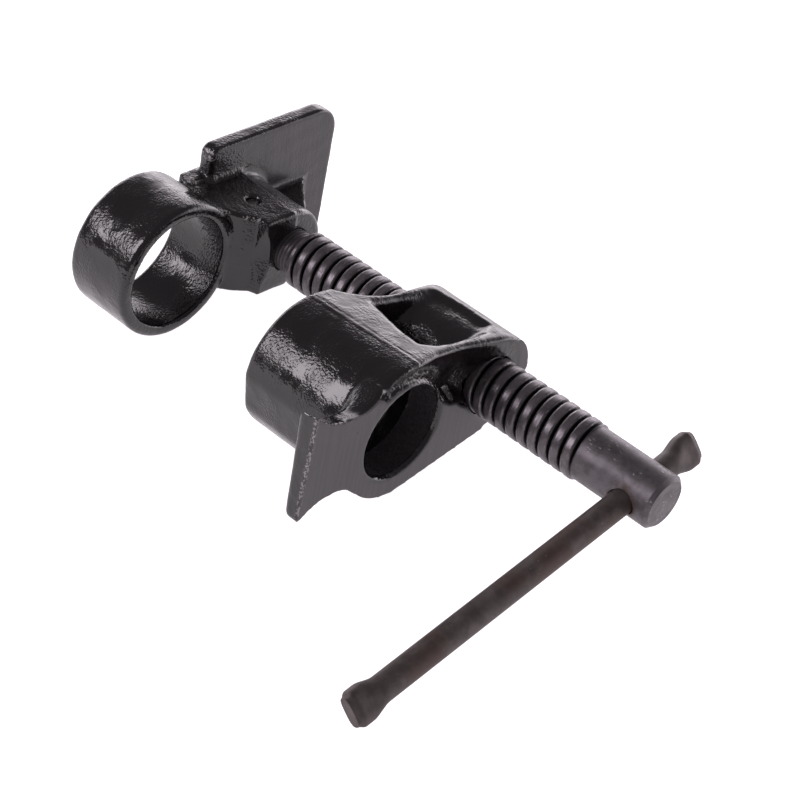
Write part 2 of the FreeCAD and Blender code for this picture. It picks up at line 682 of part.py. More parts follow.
def settle(bodies):
    doc.recompute()
    for item in doc.Objects:
        if "Invalid" in item.State or "Error" in item.State:
            raise ValueError("%s failed: %s" % (item.Name, item.State))
    os.makedirs("parts", exist_ok=True)
    for body in bodies:
        shape = body.Shape
        if shape.isNull() or not shape.isValid() or len(shape.Solids) != 1:
            raise ValueError("%s has no single valid solid" % body.Label)
        shape.exportStep("parts/%s.step" % body.Label)
        box = shape.BoundBox
        print("%-12s %9.1f mm3  X %.1f..%.1f  Y %.1f..%.1f  Z %.1f..%.1f" % (
            body.Label, shape.Volume, box.XMin, box.XMax, box.YMin, box.YMax, box.ZMin, box.ZMax))


settle([make_head(), make_jaw(), make_screw(), make_bar(), make_pin()])
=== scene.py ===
import bpy
import math
import numpy as np
from mathutils import Matrix, Vector


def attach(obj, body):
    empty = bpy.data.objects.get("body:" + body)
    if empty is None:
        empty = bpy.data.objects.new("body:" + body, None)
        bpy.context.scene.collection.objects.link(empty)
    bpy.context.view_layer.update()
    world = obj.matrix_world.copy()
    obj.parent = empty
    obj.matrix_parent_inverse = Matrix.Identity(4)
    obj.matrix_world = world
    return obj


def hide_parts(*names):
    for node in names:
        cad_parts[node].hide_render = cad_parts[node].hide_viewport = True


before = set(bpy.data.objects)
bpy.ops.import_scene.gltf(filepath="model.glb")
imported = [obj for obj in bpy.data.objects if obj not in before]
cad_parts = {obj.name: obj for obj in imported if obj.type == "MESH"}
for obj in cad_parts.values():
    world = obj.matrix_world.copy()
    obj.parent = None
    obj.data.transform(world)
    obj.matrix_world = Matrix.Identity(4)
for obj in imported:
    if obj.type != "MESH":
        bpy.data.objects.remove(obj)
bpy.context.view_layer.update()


# The head: one grey-iron sand casting with the pipe boss, the screw boss and a foot
# plate. Its front is ground flat, the rest keeps the sand's grain under black dip paint.

FRONT, BACK = 16.5, -16.5
AXES_APART = 29.2
BOSS_R, SCREW_BOSS_R = 16.7, 12.2
CAST_ROUND = 1.3
JOINT_Y, JOINT_LEAN = -0.3, 0.063
JOINT_STEP, JOINT_GROOVE = 0.16, 0.12
WEB_BACK, WEB_HALF, WEB_WAVE = -8.9, 2.6, 0.25
SWEEP_R, SWEEP_Y = 18.2, 22.0
BARREL_R, PIPE_WALL_R = 11.0, 15.2
RECESS_FLOOR_ROUND, RECESS_WALL_ROUND, RECESS_RIM_ROUND = 2.5, 2.2, 2.4
RECESS_OUTLINE = [
    (-7.6, 12.9), (-3.6, 11.9), (3.3, 10.2), (8.4, 9.9), (10.3, 12.9), (11.2, 17.0), (11.2, 28.6),
    (9.6, 31.7), (1.6, 31.7), (-4.8, 30.4), (-6.6, 21.2),
]
FOOT_END, FOOT_END_LEAN, FOOT_TOP = -30.0, 0.03, 16.0
FOOT_REAR, FOOT_REAR_LEAN = 12.1, 0.05
FOOT_INNER_Y, FOOT_INNER_LEAN, FOOT_BOTTOM = -13.4, 0.13, -10.9
FOOT_ROUND_BELOW, FOOT_ROUND_REAR = 1.6, 1.4
FOOT_FILLET, FOOT_FILLET_IN_FRONT = 2.0, 1.6
HOLLOW_ABOVE, HOLLOW_BELOW = (-17.5, 28.3, 17.0), (-21.4, -20.4, 13.2)
FLAT_TURN, FLAT_DEPTH, FLAT_ROUND = math.radians(9), 0.65, 0.3
SCOOP_RIM_Y = [-12.0, -5.0, 3.0, 9.5, 17.7, 26.5, 32.0]
SCOOP_RIM_DEPTH = [0.2, 0.9, 1.1, 2.0, 1.6, 0.7, 0.3]
DISH_Y, DISH_Z, DISH_WIDE, DISH_HIGH, DISH_DEPTH = 17.0, 4.5, 8.5, 7.0, 2.6
LOBE_R, LOBE_HALF, LOBE_DEPTH = 14.6, 0.8, 0.5
SCOOP_LIP = 0.7
PIPE_THREAD_R, PIPE_LIP_R, LIP_LENGTH = 12.06, 11.5, 9.0
THREAD_ROOM = 0.9
MOUTH_STEP, MOUTH_SLOPE, MOUTH_LENGTH, MOUTH_REACH = 0.4, 0.8, 1.4, 3.0
SCREW_HOLE_R = 7.3
GROUND_EDGE, BOSS_EDGE = 0.02, 1.2
SCOOP_OUTLINE = [
    (-8.9, 14.6), (-7.4, 12.8), (-3.6, 13.3), (0.9, 13.2), (4.6, 11.9), (7.5, 9.7), (10.2, 6.5),
    (12.0, 3.4), (14.5, 1.8), (17.4, 0.9), (22.2, -2.8), (24.4, -5.5), (27.8, -8.7), (30.9, -11.5),
    (33.6, -9.7), (36.8, -5.0), (38.0, 1.0), (36.5, 6.7), (33.0, 13.4), (33.0, 21.5), (-10.0, 21.5),
]


def blend_in(a, b, width):
    """Union of two distances with a fillet about as wide as width: the lower of the two,
    less a parabola where they come within width of each other."""
    overlap = np.maximum(width - np.abs(a - b), 0)
    return np.minimum(a, b) - overlap * overlap / (4 * width)


def blend_off(a, b, width):
    """Overlap of two distances with its edge rounded: the union rule turned inside out."""
    return -blend_in(-a, -b, width)


def block(across, up, low, high, corner):
    """Distance to a rectangle with rounded corners, worked out from its middle."""
    u = np.abs(across - (low[0] + high[0]) / 2) - (high[0] - low[0]) / 2 + corner
    v = np.abs(up - (low[1] + high[1]) / 2) - (high[1] - low[1]) / 2 + corner
    outside = np.hypot(np.maximum(u, 0), np.maximum(v, 0))
    return outside + np.minimum(np.maximum(u, v), 0) - corner


def slab(along, low, high):
    """Distance to the space between two planes."""
    return np.abs(along - (low + high) / 2) - (high - low) / 2


def outline_distance(across, up, corners):
    """Distance to a closed outline of straight sides, below zero inside it. The sign
    changes at each side that a ray to the right crosses."""
    nearest = np.full(across.shape, 1e9)
    sign = np.ones(across.shape)
    for (u0, v0), (u1, v1) in zip(corners, corners[1:] + corners[:1]):
        du, dv = u1 - u0, v1 - v0
        share = np.clip(((across - u0) * du + (up - v0) * dv) / (du * du + dv * dv), 0, 1)
        nearest = np.minimum(nearest, np.hypot(across - u0 - share * du, up - v0 - share * dv))
        if dv:
            spans = (v0 > up) != (v1 > up)
            sign = np.where(spans & (across < u0 + (up - v0) * du / dv), -sign, sign)
    return nearest * sign


def hull_distance(y, z, near_r, far_r, apart):
    """Distance to two circles and the tangents round them: the nearer circle beyond the
    tangent points, the tangent between them."""
    lean = (near_r - far_r) / apart
    level = math.sqrt(1 - lean * lean)
    z = np.abs(z)
    along = level * y - lean * z
    side = level * z + lean * y - near_r
    return np.where(along < 0, np.hypot(y, z) - near_r,
                    np.where(along > level * apart, np.hypot(y - apart, z) - far_r, side))


def step_up(value, low, high):
    """0 below low, 1 above high, smooth between."""
    share = np.clip((value - low) / (high - low), 0, 1)
    return share * share * (3 - 2 * share)


def bosses_and_web(x, y, z):
    """Distance to the hull round both bosses, with a flat on the pipe boss. Above, a low
    step and a groove follow the joint of the mould along the boss."""
    from_joint = y - JOINT_Y - JOINT_LEAN * (x - BACK)
    above = z > 0
    hull = hull_distance(y, z, BOSS_R, SCREW_BOSS_R, AXES_APART)
    hull = hull - JOINT_STEP * step_up(from_joint, 0.0, 0.4) * above
    hull = hull + JOINT_GROOVE * np.exp(-((from_joint - 1.3) / 0.35) ** 2) * above
    flat = -y * math.cos(FLAT_TURN) - z * math.sin(FLAT_TURN) - BOSS_R + FLAT_DEPTH
    return blend_off(hull, flat, FLAT_ROUND)


def behind_web(x, y):
    """Distance to the space ahead of the head's back: a plane behind each boss, and a
    quarter of a circle that leads from one to the other."""
    sweep = SWEEP_R - np.hypot(x - WEB_BACK + SWEEP_R, y - SWEEP_Y)
    return np.maximum(BACK - x, np.where(y > SWEEP_Y, WEB_BACK - x, sweep))


def foot_plate(x, y, z):
    """Distance to the foot plate: between two leaning planes and a leaning rear face, with
    a circle hollowed out above and one below."""
    over = HOLLOW_ABOVE[2] - np.hypot(y - HOLLOW_ABOVE[0], z - HOLLOW_ABOVE[1] - 0.2 * (x - 14))
    under = HOLLOW_BELOW[2] - np.hypot(y - HOLLOW_BELOW[0], z - HOLLOW_BELOW[1])
    outer = FOOT_END - FOOT_END_LEAN * (FOOT_TOP - z) - y
    inner = y - FOOT_INNER_Y - FOOT_INNER_LEAN * (z - FOOT_BOTTOM)
    plate = blend_off(np.maximum(over, np.maximum(outer, inner)), under, FOOT_ROUND_BELOW)
    return blend_off(plate, FOOT_REAR - FOOT_REAR_LEAN * z - x, FOOT_ROUND_REAR)


def side_recesses(x, y, z):
    """Distance to the cored recesses: the outline beyond the web's gently waved floor,
    less the screw's barrel and the pipe's wall."""
    floor = WEB_HALF + WEB_WAVE * np.sin(x * 0.9) * np.sin(y * 0.8 + 1)
    recess = outline_distance(x, y, RECESS_OUTLINE)
    recess = blend_off(recess, floor - np.abs(z), RECESS_FLOOR_ROUND)
    recess = blend_off(recess, BARREL_R - np.hypot(y - AXES_APART, z), RECESS_WALL_ROUND)
    return blend_off(recess, PIPE_WALL_R - np.hypot(y, z), RECESS_WALL_ROUND)


def front_scoop(x, y, z):
    """Distance to the front scoop: as deep as its rim at each y, deeper by a bell-shaped
    dish beside the screw and by a narrow lobe round the pipe hole."""
    inside = 0.15 * np.sin(4 * y) * np.sin(2.3 * y + 1) - outline_distance(y, z, SCOOP_OUTLINE)
    dish = np.exp(-((y - DISH_Y) / DISH_WIDE) ** 2 - ((z - DISH_Z) / DISH_HIGH) ** 2)
    lobe = step_up(y, -8, -5) * (1 - step_up(y, 6, 11))
    lobe = lobe * np.exp(-((np.hypot(y, z) - LOBE_R) / LOBE_HALF) ** 2)
    depth = np.interp(y, SCOOP_RIM_Y, SCOOP_RIM_DEPTH) + DISH_DEPTH * dish + LOBE_DEPTH * lobe
    wall = 0.2 + 1.8 * step_up(y, 8, 14)
    floor = FRONT - depth * step_up(inside, -SCOOP_LIP, wall)
    return np.maximum(floor - x, -SCOOP_LIP - inside) * 0.75


def pipe_hole(x, y, z):
    """Distance to the pipe hole: a plain lip in front, wider behind it to take the thread,
    and a cone at the front mouth."""
    around_pipe = np.hypot(y, z)
    hole = around_pipe - np.where(x > FRONT - LIP_LENGTH, PIPE_LIP_R, PIPE_THREAD_R + THREAD_ROOM)
    cone = PIPE_LIP_R - MOUTH_STEP + MOUTH_SLOPE * (x - FRONT + MOUTH_LENGTH)
    return np.minimum(hole, np.maximum(around_pipe - cone, FRONT - MOUTH_REACH - x))


def head_shape(x, y, z):
    """Distance to the head, in mm: bosses and web in one outline, swept in behind the web,
    and the foot plate, less the recesses, the scoop and the two holes, flat in front."""
    head = blend_off(bosses_and_web(x, y, z), behind_web(x, y), CAST_ROUND)
    in_front = step_up(z, 2, 9) * step_up(x, 4, 16)
    head = blend_in(head, foot_plate(x, y, z), FOOT_FILLET + FOOT_FILLET_IN_FRONT * in_front)
    head = blend_off(head, -side_recesses(x, y, z), RECESS_RIM_ROUND)
    head = blend_off(head, -front_scoop(x, y, z), CAST_ROUND)
    head = np.maximum(head, -pipe_hole(x, y, z))
    head = np.maximum(head, SCREW_HOLE_R - np.hypot(y - AXES_APART, z))
    by_foot = step_up(z, 10, 12.5) * step_up(y, -18, -13) * (1 - step_up(y, -8, -4))
    return blend_off(head, x - FRONT, GROUND_EDGE + BOSS_EDGE * by_foot)


def skin_of(shape, low, high, step):
    """Quads over the surface where shape is zero. Each grid cell that the surface crosses
    gets one point, the mean of the crossings on its twelve edges. Each grid edge that it
    crosses gets one quad through the four cells round it. The points then slide along the
    slope of shape until it is zero."""
    axes = [np.arange(a - 1.5 * step, b + 2.5 * step, step) for a, b in zip(low, high)]
    origin = np.array([axis[0] for axis in axes])
    field = shape(*np.meshgrid(*axes, indexing="ij"))
    inside = field < 0
    cells = tuple(n - 1 for n in field.shape)
    sums, hits = np.zeros(cells + (3,)), np.zeros(cells)
    for axis in range(3):
        for first in (0, 1):
            for second in (0, 1):
                corner = np.insert([first, second], axis, 0)
                near = tuple(slice(c, c + n) for c, n in zip(corner, cells))
                corner_far = corner + np.eye(3, dtype=int)[axis]
                far = tuple(slice(c, c + n) for c, n in zip(corner_far, cells))
                crossed = inside[near] != inside[far]
                gap = np.where(crossed, field[near] - field[far], 1)
                hits += crossed
                for k in range(3):
                    place = field[near] / gap if k == axis else corner[k]
                    sums[..., k] += np.where(crossed, place, 0)
    used = hits > 0
    number = np.full(cells, -1)
    number[used] = np.arange(used.sum())
    points = (np.argwhere(used) + sums[used] / hits[used][:, None]) * step + origin
    quads = []
    for axis in range(3):
        second, third = (axis + 1) % 3, (axis + 2) % 3
        ahead = np.eye(3, dtype=int)
        low_node = tuple(slice(int(k != axis), n) for k, n in enumerate(cells))
        high_node = tuple(slice(1, n + int(k == axis)) for k, n in enumerate(cells))
        crossed = inside[low_node] != inside[high_node]
        nodes = np.argwhere(crossed) + np.where(np.arange(3) == axis, 0, 1)
        ring = []
        for a, b in ((-1, -1), (0, -1), (0, 0), (-1, 0)):
            cell = nodes + a * ahead[second] + b * ahead[third]
            ring.append(number[cell[:, 0], cell[:, 1], cell[:, 2]])
        ring = np.stack(ring, axis=1)
        outward = inside[nodes[:, 0], nodes[:, 1], nodes[:, 2]]
        quads.append(np.where(outward[:, None], ring, ring[:, ::-1]))
    quads = np.concatenate(quads)
    for _ in range(3):
        value = shape(*points.T)
        slope = slope_of(shape, points)
        length = np.maximum((slope * slope).sum(axis=1), 0.25)
        move = np.clip(value / length, -0.5 * step, 0.5 * step)
        points = points - slope * move[:, None]
    return points, quads


def slope_of(shape, points):
    """How fast shape grows along X, Y and Z at each point, from points 0.02 mm apart."""
    reach = 0.01
    slope = np.empty_like(points)
    for k in range(3):
        ahead, behind = points.copy(), points.copy()
        ahead[:, k] += reach
        behind[:, k] -= reach
        slope[:, k] = (shape(*ahead.T) - shape(*behind.T)) / (2 * reach)
    return slope


def grain(points, wave, seed, count=14):
    """Smooth random relief between about -1 and 1: sine waves of one length in random
    directions, added up."""
    dice = np.random.default_rng(seed)
    ways = dice.normal(size=(count, 3))
    ways *= 2 * math.pi / wave / np.linalg.norm(ways, axis=1)[:, None]
    ways *= dice.uniform(0.7, 1.35, size=(count, 1))
    turns = dice.uniform(0, 2 * math.pi, size=count)
    total = np.zeros(len(points))
    for way, turn in zip(ways, turns):
        total += np.sin(points @ way + turn)
    return total / math.sqrt(count)


def new_piece(name, points, faces, sharp=40):
    """A mesh object from points in mm, smooth but for edges sharper than sharp degrees."""
    mesh = bpy.data.meshes.new(name)
    mesh.from_pydata((points * 0.001).tolist(), [], [tuple(f) for f in faces.tolist()])
    mesh.update()
    mesh.shade_smooth()
    mesh.set_sharp_from_angle(angle=math.radians(sharp))
    piece = bpy.data.objects.new(name, mesh)
    bpy.context.scene.collection.objects.link(piece)
    return piece


def set_share(piece, name, values):
    """Keeps one number from 0 to 1 at each point of the mesh, for the finish to read."""
    layer = piece.data.attributes.new(name, "FLOAT", "POINT")
    layer.data.foreach_set("value", np.clip(values, 0, 1).astype(np.float32))


def cast_skin(shape, low, high, step, still, coarse, seed):
    """A casting's skin: the smooth shape, moved along its slope by the grain of the sand.
    still is 1 where a face is ground or bored and keeps its place."""
    points, quads = skin_of(shape, low, high, step)
    slope = slope_of(shape, points)
    slope /= np.maximum(np.linalg.norm(slope, axis=1), 0.3)[:, None]
    loose = 1 - still(points)
    relief = 0.022 * grain(points, 5.5, seed) + 0.006 * grain(points, 1.6, seed + 1)
    bare_sand = 0.10 * grain(points, 1.25, seed + 2) + 0.05 * grain(points, 2.1, seed + 3)
    relief += coarse(points) * bare_sand
    return points + slope * (relief * loose)[:, None], quads


class Value:
    """A shader socket that takes part in ordinary sums."""

    def __init__(self, finish, socket):
        self.finish = finish
        self.socket = socket

    def maths(self, operation, *terms):
        return self.finish.node("Math", {"operation": operation}, *terms)

    def __add__(self, other):
        return self.maths("ADD", self, other)

    def __sub__(self, other):
        return self.maths("SUBTRACT", self, other)

    def __rsub__(self, other):
        return self.maths("SUBTRACT", other, self)

    def __mul__(self, other):
        return self.maths("MULTIPLY", self, other)

    def __pow__(self, other):
        return self.maths("POWER", self, other)

    __radd__ = __add__
    __rmul__ = __mul__

    def between(self, low, high):
        """0 below low, 1 above high, smooth between."""
        return self.finish.node("MapRange", {"interpolation_type": "SMOOTHSTEP"}, self, low, high)

    def distance_to(self, place_mm):
        """Distance in mm from a place given in mm, where this socket holds coordinates."""
        place = tuple(c * 0.001 for c in place_mm)
        kind = {"operation": "DISTANCE"}
        return self.finish.node("VectorMath", kind, self, place, output="Value") * 1000


class Finish:
    """A material in the making."""

    def __init__(self, name):
        self.material = bpy.data.materials.new(name)
        self.material.use_nodes = True
        self.tree = self.material.node_tree
        self.tree.nodes.clear()
        self.out = self.tree.nodes.new("ShaderNodeOutputMaterial")
        self.place = self.node("TexCoord", {}, output="Object")

    def node(self, kind, settings, *terms, output=0, **named):
        """Any node: its settings first, then the values or links of its sockets."""
        made = self.tree.nodes.new("ShaderNode" + kind)
        for key, setting in settings.items():
            setattr(made, key, setting)
        for key, term in list(enumerate(terms)) + list(named.items()):
            socket = made.inputs[key.replace("_", " ") if isinstance(key, str) else key]
            if isinstance(term, Value):
                self.tree.links.new(term.socket, socket)
            else:
                socket.default_value = term
        return Value(self, made.outputs[output])

    def noise(self, size_mm, detail=3.0, place=None):
        """Cloudy noise whose lumps are about size_mm across."""
        return self.node("TexNoise", {}, Vector=place or self.place, Scale=1000 / size_mm,
                         Detail=detail, Roughness=0.55)

    def cells(self, size_mm):
        """Distance to the nearest of scattered points about size_mm apart, as a share."""
        return self.node("TexVoronoi", {"feature": "F1"}, Vector=self.place,
                         Scale=1000 / size_mm, output="Distance")

    def stretched(self, x, y, z, turn=(0, 0, 0)):
        """Object coordinates, scaled along each axis."""
        return self.node("Mapping", {}, Vector=self.place, Scale=(x, y, z), Rotation=turn)

    def share(self, name):
        """What set_share kept on the mesh, and 0 on a mesh without it."""
        return self.node("Attribute", {"attribute_name": name}, output="Fac")

    def mix(self, share, first, second):
        """The first colour where share is 0, the second where it is 1."""
        made = self.tree.nodes.new("ShaderNodeMix")
        made.data_type = "RGBA"
        for number, term in ((0, share), (6, first), (7, second)):
            if isinstance(term, Value):
                self.tree.links.new(term.socket, made.inputs[number])
            else:
                made.inputs[number].default_value = (*term, 1)
        return Value(self, made.outputs[2])

    def bump(self, height_mm):
        """Relief from a height given in mm."""
        return self.node("Bump", {}, Height=height_mm, Distance=0.001, Strength=1.0)

    def done(self, **sockets):
        """The finished material: one principled shader with these sockets."""
        shader = self.node("BsdfPrincipled", {}, output="BSDF", **sockets)
        self.tree.links.new(shader.socket, self.out.inputs["Surface"])
        return self.material


PAINT, BARE_SAND = (0.0088, 0.0068, 0.0083), (0.045, 0.042, 0.042)
GROUND_IRON, GROUND_LINE = (0.030, 0.025, 0.029), (0.046, 0.040, 0.045)
CHIPPED, WORN = (0.34, 0.32, 0.33), (0.15, 0.14, 0.15)
DARK_SPOT = (FRONT, -15.93, 7.15)


def casting_finish():
    """Gloss black dip paint over sand-cast iron: it pools smooth on the walls, and lies
    thin over the grain of the rough places and over the ground faces."""
    paint = Finish("black_dip_paint")
    ground, rough = paint.share("ground"), paint.share("rough")
    chip, worn = paint.share("chip"), paint.share("worn")
    peel = paint.noise(1.3, detail=1.0)
    sand = paint.cells(0.62)
    fine = paint.noise(0.55, detail=1.5)
    lines = paint.noise(0.7, detail=3.0, place=paint.stretched(1, 1, 0.04))
    blotch = paint.noise(7.0, detail=3.0)
    pits = (1 - paint.cells(1.9).between(0.05, 0.22)) * blotch.between(0.5, 0.62)

    loose = 1 - ground
    sandy = blotch.between(0.38, 0.62) * loose
    height = peel * 0.02 * loose + fine * (0.02 + sandy * 0.09)
    height = height + (1 - sand) * (rough * 0.16 + sandy * 0.05) + fine * rough * 0.06
    height = height + lines * ground * 0.010 + fine * ground * 0.006 - pits * 0.02
    colour = paint.mix(ground, PAINT, GROUND_IRON)
    colour = paint.mix(rough * sand.between(0.30, 0.55) * 0.3, colour, BARE_SAND)
    colour = paint.mix(chip * fine.between(0.48, 0.56), colour, CHIPPED)
    colour = paint.mix(lines.between(0.40, 0.62) * ground * 0.6, colour, GROUND_LINE)
    colour = paint.mix(worn * (fine + 0.3), colour, WORN)
    spot = paint.place.distance_to(DARK_SPOT)
    colour = paint.mix(1 - spot.between(0.25, 0.5), colour, (0.006, 0.005, 0.006))
    gloss = 0.12 + sandy * 0.08 + ground * 0.30 + rough * 0.14 + chip * 0.1
    return paint.done(Base_Color=colour, Roughness=gloss, Metallic=0.0, IOR=1.58,
                      Normal=paint.bump(height))


CASTING = casting_finish()


def head_still(points):
    """1 on the ground front and in the bores."""
    x, y, z = points.T
    from_lip = np.abs(np.hypot(y, z) - PIPE_LIP_R)
    from_screw_hole = np.abs(np.hypot(y - AXES_APART, z) - SCREW_HOLE_R)
    bored = 1 - step_up(np.minimum(from_lip, from_screw_hole), 0.2, 0.5)
    return np.maximum(step_up(x, FRONT - 0.35, FRONT - 0.05), bored)


def head_rough(points):
    """1 in the scoop and on the recess floors, where the sand's grain is bare."""
    x, y, z = points.T
    scoop = step_up(-outline_distance(y, z, SCOOP_OUTLINE), -0.3, 0.5)
    scoop *= step_up(x, FRONT - 5.5, FRONT - 4.5)
    scoop *= (1 - step_up(y, 11.0, 17.0)) * (1 - step_up(np.hypot(y, z), 15.4, 16.3))
    floors = np.maximum(outline_distance(x, y, RECESS_OUTLINE), y - 22)
    floors = (1 - step_up(floors, -1.2, 0.2)) * (1 - step_up(np.abs(z), 7.5, 9.5))
    return np.maximum(scoop, floors)


def head_chip(points):
    """1 along the foot's front corner, where the paint has come off."""
    x, y, z = points.T
    corner = np.hypot(y - FOOT_END + FOOT_END_LEAN * (FOOT_TOP - z), FRONT - x)
    return 1 - step_up(corner, 0.25, 0.85)


def head_worn(points):
    """WORN_SHARE on the rim of the pipe hole under the scoop, and inside the hole."""
    x, y, z = points.T
    from_axis = np.hypot(y, z)
    rim = 1 - step_up(np.abs(from_axis - WORN_R), 0.25, 0.7)
    rim *= step_up(z, 1, 6) * step_up(x, FRONT - 1.2, FRONT - 0.6) * (1 - step_up(y, 6, 11))
    in_hole = (from_axis < WORN_R) * (x < FRONT - 1.0)
    return WORN_SHARE * np.maximum(rim, in_hole)


WORN_R, WORN_SHARE = 12.2, 0.35
HEAD_GRID, HEAD_GRAIN = 0.5, 11
head_low = (BACK, FOOT_END, -BOSS_R - 0.5)
head_high = (FRONT, AXES_APART + SCREW_BOSS_R, BOSS_R + 0.9)
points, quads = cast_skin(head_shape, head_low, head_high, HEAD_GRID,
                          head_still, head_rough, HEAD_GRAIN)
head = new_piece("head_casting", points, quads)
set_share(head, "ground", step_up(points[:, 0], FRONT - 0.25, FRONT - 0.05))
set_share(head, "rough", head_rough(points))
set_share(head, "chip", head_chip(points))
set_share(head, "worn", head_worn(points))
head.data.materials.append(CASTING)
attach(head, "head_body")
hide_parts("head")


# The pipe thread: cut into the back of the pipe boss, tapered, fourteen turns to the inch.

PIPE_PITCH, PIPE_TAPER = 25.4 / 14, 0.3 / 32
PIPE_ROOT, PIPE_CREST = 0.75, 0.95
PIPE_COLUMNS, ROWS_PER_TURN = 72, 10


def joined_rows(rows, columns):
    """Quads between rows of points that run round an axis: each point is joined to the
    next one round, and both to the two in the row after."""
    row = np.arange(rows - 1)[:, None] * columns
    column = np.arange(columns)[None, :]
    first, after = row + column, row + (column + 1) % columns
    return np.stack([first, after, after + columns, first + columns], axis=-1).reshape(-1, 4)


def turned_surface(rows_x, rows_r, around, centre_y):
    """A surface round an axis along X: for each row and each angle, rows_x is how far along
    and rows_r how far out the point lies."""
    angle = np.broadcast_to(around, rows_x.shape)
    spots = [rows_x, centre_y + rows_r * np.cos(angle), rows_r * np.sin(angle)]
    return np.stack(spots, axis=-1).reshape(-1, 3), joined_rows(*rows_x.shape)


def pipe_thread_radius(x, turn):
    """Root less a flat-topped triangle once a pitch, shifted by a pitch each turn, on a
    taper. It starts as a cone at the back and fades into a plain bore in front."""
    phase = (x / PIPE_PITCH - turn / (2 * math.pi)) % 1
    ridge = np.clip((1 - np.abs(2 * phase - 1)) * 1.25, 0, 1)
    cut = PIPE_THREAD_R + PIPE_ROOT - PIPE_CREST * ridge - PIPE_TAPER * (x - BACK)
    cut = np.maximum(cut, PIPE_THREAD_R + 0.8 - (x - BACK) * 0.8)
    plain = step_up(x, 2.0, 4.0)
    return cut * (1 - plain) + (PIPE_THREAD_R - 0.1) * plain


around = np.linspace(0, 2 * math.pi, PIPE_COLUMNS, endpoint=False)
thread_rows = np.arange(BACK + 0.02, FRONT - LIP_LENGTH - 0.05, PIPE_PITCH / ROWS_PER_TURN)
grid_x, grid_a = np.meshgrid(thread_rows, around, indexing="ij")
behind = np.full((1, PIPE_COLUMNS), PIPE_THREAD_R + 1.1)
rows_x = np.concatenate([grid_x[:1], grid_x, grid_x[-1:]])
rows_r = np.concatenate([behind, pipe_thread_radius(grid_x, grid_a), behind - 0.9])
points, quads = turned_surface(rows_x, rows_r, around, 0.0)
pipe_thread = new_piece("pipe_thread_cut", points, quads[:, ::-1])
pipe_thread.data.materials.append(CASTING)
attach(pipe_thread, "head_body")


# The screw: turned from one bar, with a rolled rounded thread. Its plain shank is drilled
# across for the bar, and its neck runs in the jaw's socket, held by a pin in a groove.

THREAD_R, THREAD_DEPTH, PITCH, GROOVE_SHIFT = 7.15, 1.25, 3.175, 2.3
CREST_CROWN, DENT_DEPTH, RUN_IN = 0.14, 0.03, 1.7
NECK_R, GROOVE_R = 5.45, 4.2
TURNING_MARK, TURNING_DEPTH = 0.95, 0.06
SHANK_R, SHANK_CHAMFER = 6.6, 1.0
RING_FACE, SOCKET_DEPTH, GAP = -54.8, 9.0, 0.06
NECK_END = RING_FACE - SOCKET_DEPTH + GAP
THREAD_START, THREAD_END = -42.6, FRONT + 28.4
SHANK_END = FRONT + 49.6
PIN_X, PIN_R = RING_FACE - 1.9, 1.5
BAR_X, BAR_R, BAR_DROOP = FRONT + 42.7, 3.0, math.radians(9.6)


def along_rows(stations):
    """Rows between stations: each is where it starts, and how far apart its rows are."""
    parts = [np.arange(a, b - 0.3 * gap, gap) for (a, gap), (b, _) in zip(stations, stations[1:])]
    return np.concatenate(parts + [[stations[-1][0]]])


def screw_radius(x, turn):
    """How far out the screw reaches: a neck with a sine for its turning marks, the pin's
    groove, a cone that runs in, the thread, the shank and a chamfer. The thread is its crest
    less a smooth narrow groove once a pitch, shifted by a pitch each turn, with small dents."""
    neck = NECK_R - TURNING_DEPTH * (0.5 + 0.5 * np.sin(x * 2 * math.pi / TURNING_MARK))
    neck = np.where(np.abs(x - PIN_X) < PIN_R + GAP, GROOVE_R, neck)
    phase = ((x - GROOVE_SHIFT) / PITCH - turn / (2 * math.pi)) % 1
    from_groove = np.minimum(phase, 1 - phase) * PITCH
    cut = THREAD_DEPTH * (1 - step_up(from_groove, 0.12, 0.52))
    crown = CREST_CROWN * step_up(from_groove, 0.5, 0.95)
    dents = DENT_DEPTH * np.sin(turn * 7 + x * 2.1) * np.sin(turn * 3 - x * 0.9)
    thread = THREAD_R - CREST_CROWN - cut + crown - np.maximum(dents, 0)
    run_in = NECK_R + (x - THREAD_START + RUN_IN) / RUN_IN * (THREAD_R - NECK_R)
    fade = step_up(x, THREAD_END - 0.4, THREAD_END + 0.5)
    thread = np.minimum(thread, run_in)
    thread = thread * (1 - fade) + SHANK_R * fade
    shank_end = SHANK_R - np.maximum(x - SHANK_END + SHANK_CHAMFER, 0)
    radius = np.where(x < THREAD_START - RUN_IN, neck, thread)
    return np.where(x > THREAD_END + 0.5, shank_end, radius)


SCREW_COLUMNS, THREAD_GRID = 96, 0.104
around = np.linspace(0, 2 * math.pi, SCREW_COLUMNS, endpoint=False)
stations = along_rows([(NECK_END, 0.5), (RING_FACE + 6.4, 0.06),
                       (THREAD_START - RUN_IN, THREAD_GRID),
                       (THREAD_END + 0.8, 0.5), (SHANK_END - 1.2, 0.1), (SHANK_END, 0.1)])
grid_x, grid_a = np.meshgrid(stations, around, indexing="ij")
grid_r = screw_radius(grid_x, grid_a)
neck_row, shank_row = grid_r[:1], grid_r[-1:]
rows_x = np.concatenate([grid_x[:1], grid_x[:1], grid_x, grid_x[-1:], grid_x[-1:]])
rows_r = np.concatenate([0 * neck_row, 0.55 * neck_row, grid_r, 0.6 * shank_row, 0 * shank_row])
points, quads = turned_surface(rows_x, rows_r, around, AXES_APART)
screw = new_piece("clamp_screw_turned", points, quads)


def weld(piece, gap_mm=0.001):
    """Joins points that lie together, such as a turned piece's poles."""
    modifier = piece.modifiers.new("weld", "WELD")
    modifier.merge_threshold = gap_mm * 0.001
    settle(piece)


